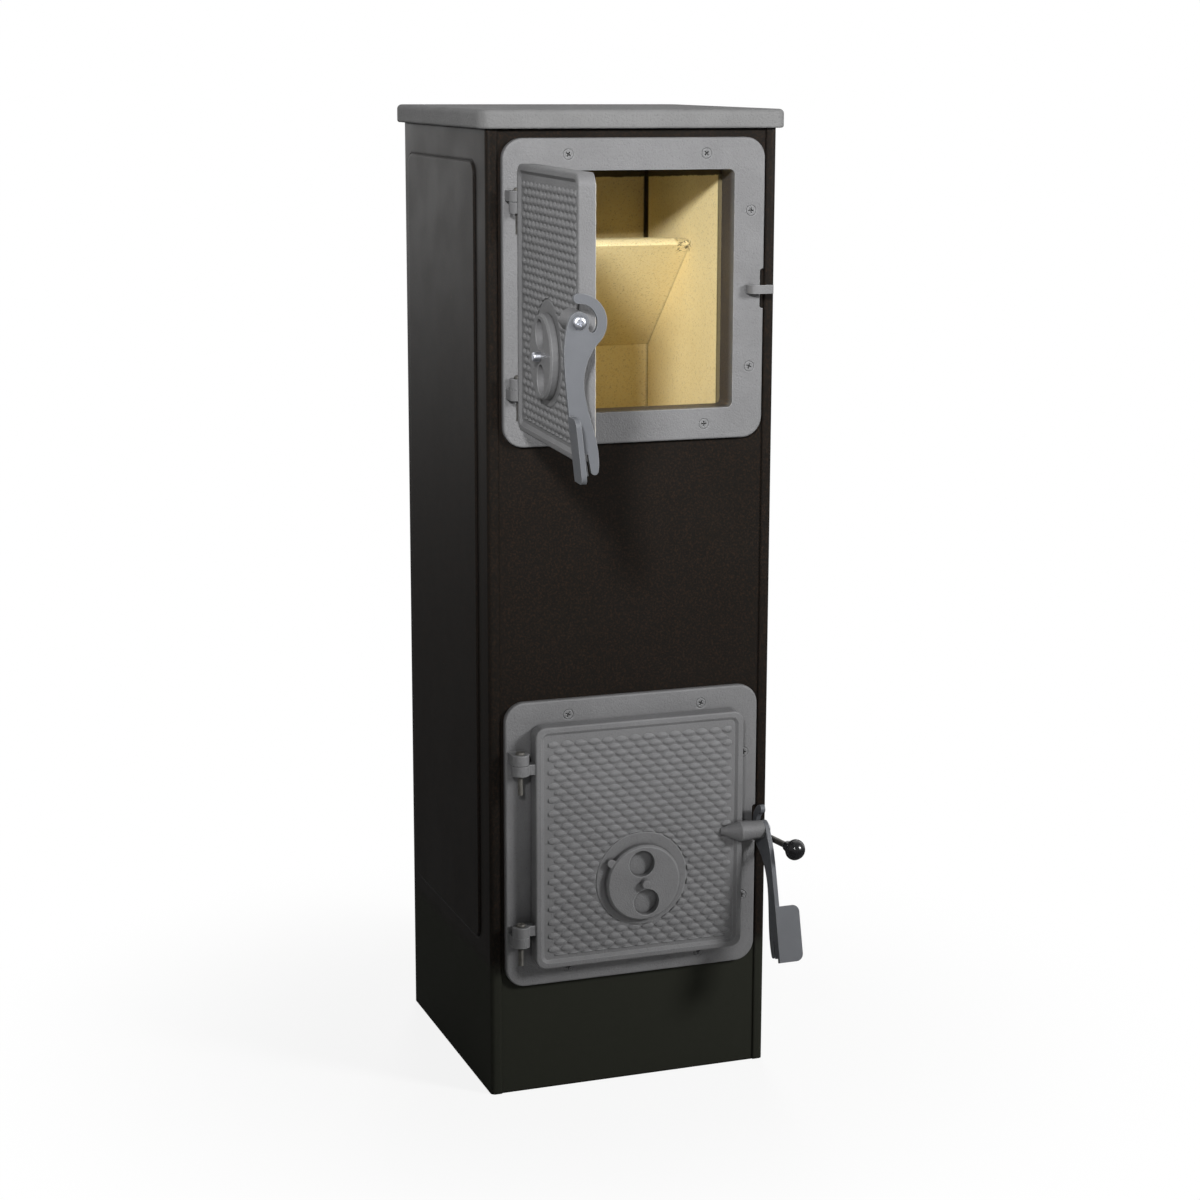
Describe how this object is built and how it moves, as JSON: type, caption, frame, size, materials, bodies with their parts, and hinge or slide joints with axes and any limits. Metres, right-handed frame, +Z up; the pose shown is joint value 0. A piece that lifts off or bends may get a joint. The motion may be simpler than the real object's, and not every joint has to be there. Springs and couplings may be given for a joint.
{
  "type": "column heating stove",
  "caption": "Tall column wood stove with two latched cast doors, air regulators, riddling grate, ash pan, board lining and rear flue spigot.",
  "frame": {"origin": "centre of the base on the floor", "axes": "+X to the stove's right seen from the front, +Y into its depth towards the flue, +Z up"},
  "size_m": [0.3545, 0.6911, 1.0555],
  "materials": {
    "casing_enamel": "semi-gloss enamel",
    "plate_paint": "satin paint",
    "painted_castings": "satin paint",
    "zinc": "bright zinc",
    "bare_steel": "mill finish",
    "grate_iron": "bare casting",
    "knob_plastic": "gloss",
    "glass_rope": "braided",
    "vermiculite": "matt pressed board"
  },
  "bodies": {
    "stove": {"base_frame": "casing_enamel", "left_side_panel": "casing_enamel", "right_side_panel": "casing_enamel", "front_panel": "casing_enamel", "rear_panel": "casing_enamel", "rear_panel_screws": "zinc", "top_plate": "plate_paint", "lower_door_frame": "painted_castings", "upper_door_frame": "painted_castings", "lower_frame_screws": "zinc", "upper_frame_screws": "zinc", "lower_hinge_pins": "zinc", "upper_hinge_pins": "zinc", "firebox_shell": "bare_steel", "ash_floor": "bare_steel", "left_bed_rail": "bare_steel", "right_bed_rail": "bare_steel", "grate_bed": "grate_iron", "left_lining_lower": "vermiculite", "right_lining_lower": "vermiculite", "left_lining_upper": "vermiculite", "right_lining_upper": "vermiculite", "rear_lining_lower": "vermiculite", "rear_lining_middle": "vermiculite", "rear_lining_upper_left": "vermiculite", "rear_lining_upper_right": "vermiculite", "front_lining": "vermiculite", "baffle_board": "vermiculite", "shaft_bush": "bare_steel", "flue_spigot": "bare_steel", "flue_screws": "zinc"},
    "lower_door": {"lower_door": "painted_castings", "lower_door_rope": "glass_rope", "lower_regulator_screw": "painted_castings", "lower_handle_screw": "zinc"},
    "upper_door": {"upper_door": "painted_castings", "upper_door_rope": "glass_rope", "upper_regulator_screw": "zinc", "upper_handle_screw": "zinc"},
    "lower_regulator": {"lower_regulator": "painted_castings"},
    "upper_regulator": {"upper_regulator": "painted_castings"},
    "lower_handle": {"lower_handle": "painted_castings"},
    "upper_handle": {"upper_handle": "painted_castings"},
    "riddling_grate": {"grate": "grate_iron", "grate_shaft": "bare_steel", "riddling_lever": "bare_steel", "lever_knob": "knob_plastic"},
    "ash_pan": {"ash_pan": "bare_steel"}
  },
  "joints": [
    {"name": "lower_door_hinge", "type": "hinge", "parent": "stove", "child": "lower_door", "pos_m": [-0.1326, -0.1755, 0.2804], "axis": [0, 0, -1], "range_deg": [0, 165]},
    {"name": "upper_door_hinge", "type": "hinge", "parent": "stove", "child": "upper_door", "pos_m": [-0.1326, -0.1755, 0.8688], "axis": [0, 0, -1], "range_deg": [-94.2, 70.8]},
    {"name": "lower_handle_pivot", "type": "hinge", "parent": "lower_door", "child": "lower_handle", "pos_m": [0.1415, -0.1863, 0.2804], "axis": [-1, 0, 0], "range_deg": [-21, 101]},
    {"name": "upper_handle_pivot", "type": "hinge", "parent": "upper_door", "child": "upper_handle", "pos_m": [-0.16345, -0.44807, 0.8688], "axis": [0.0732, 0.9973, 0], "range_deg": [0, 122]},
    {"name": "lower_regulator_turn", "type": "hinge", "parent": "lower_door", "child": "lower_regulator", "pos_m": [0.0036, -0.187, 0.2338], "axis": [0, 1, 0], "range_deg": [0, 90]},
    {"name": "upper_regulator_turn", "type": "hinge", "parent": "upper_door", "child": "upper_regulator", "pos_m": [-0.15404, -0.31049, 0.8222], "axis": [0.9973, -0.0732, 0], "range_deg": [0, 90]},
    {"name": "riddling_rock", "type": "hinge", "parent": "stove", "child": "riddling_grate", "pos_m": [0, -0.02, 0.247], "axis": [-1, 0, 0], "range_deg": [-6, 18]},
    {"name": "ash_pan_slide", "type": "slide", "parent": "stove", "child": "ash_pan", "axis": [0, -1, 0], "range_m": [0, 0.034]}
  ]
}
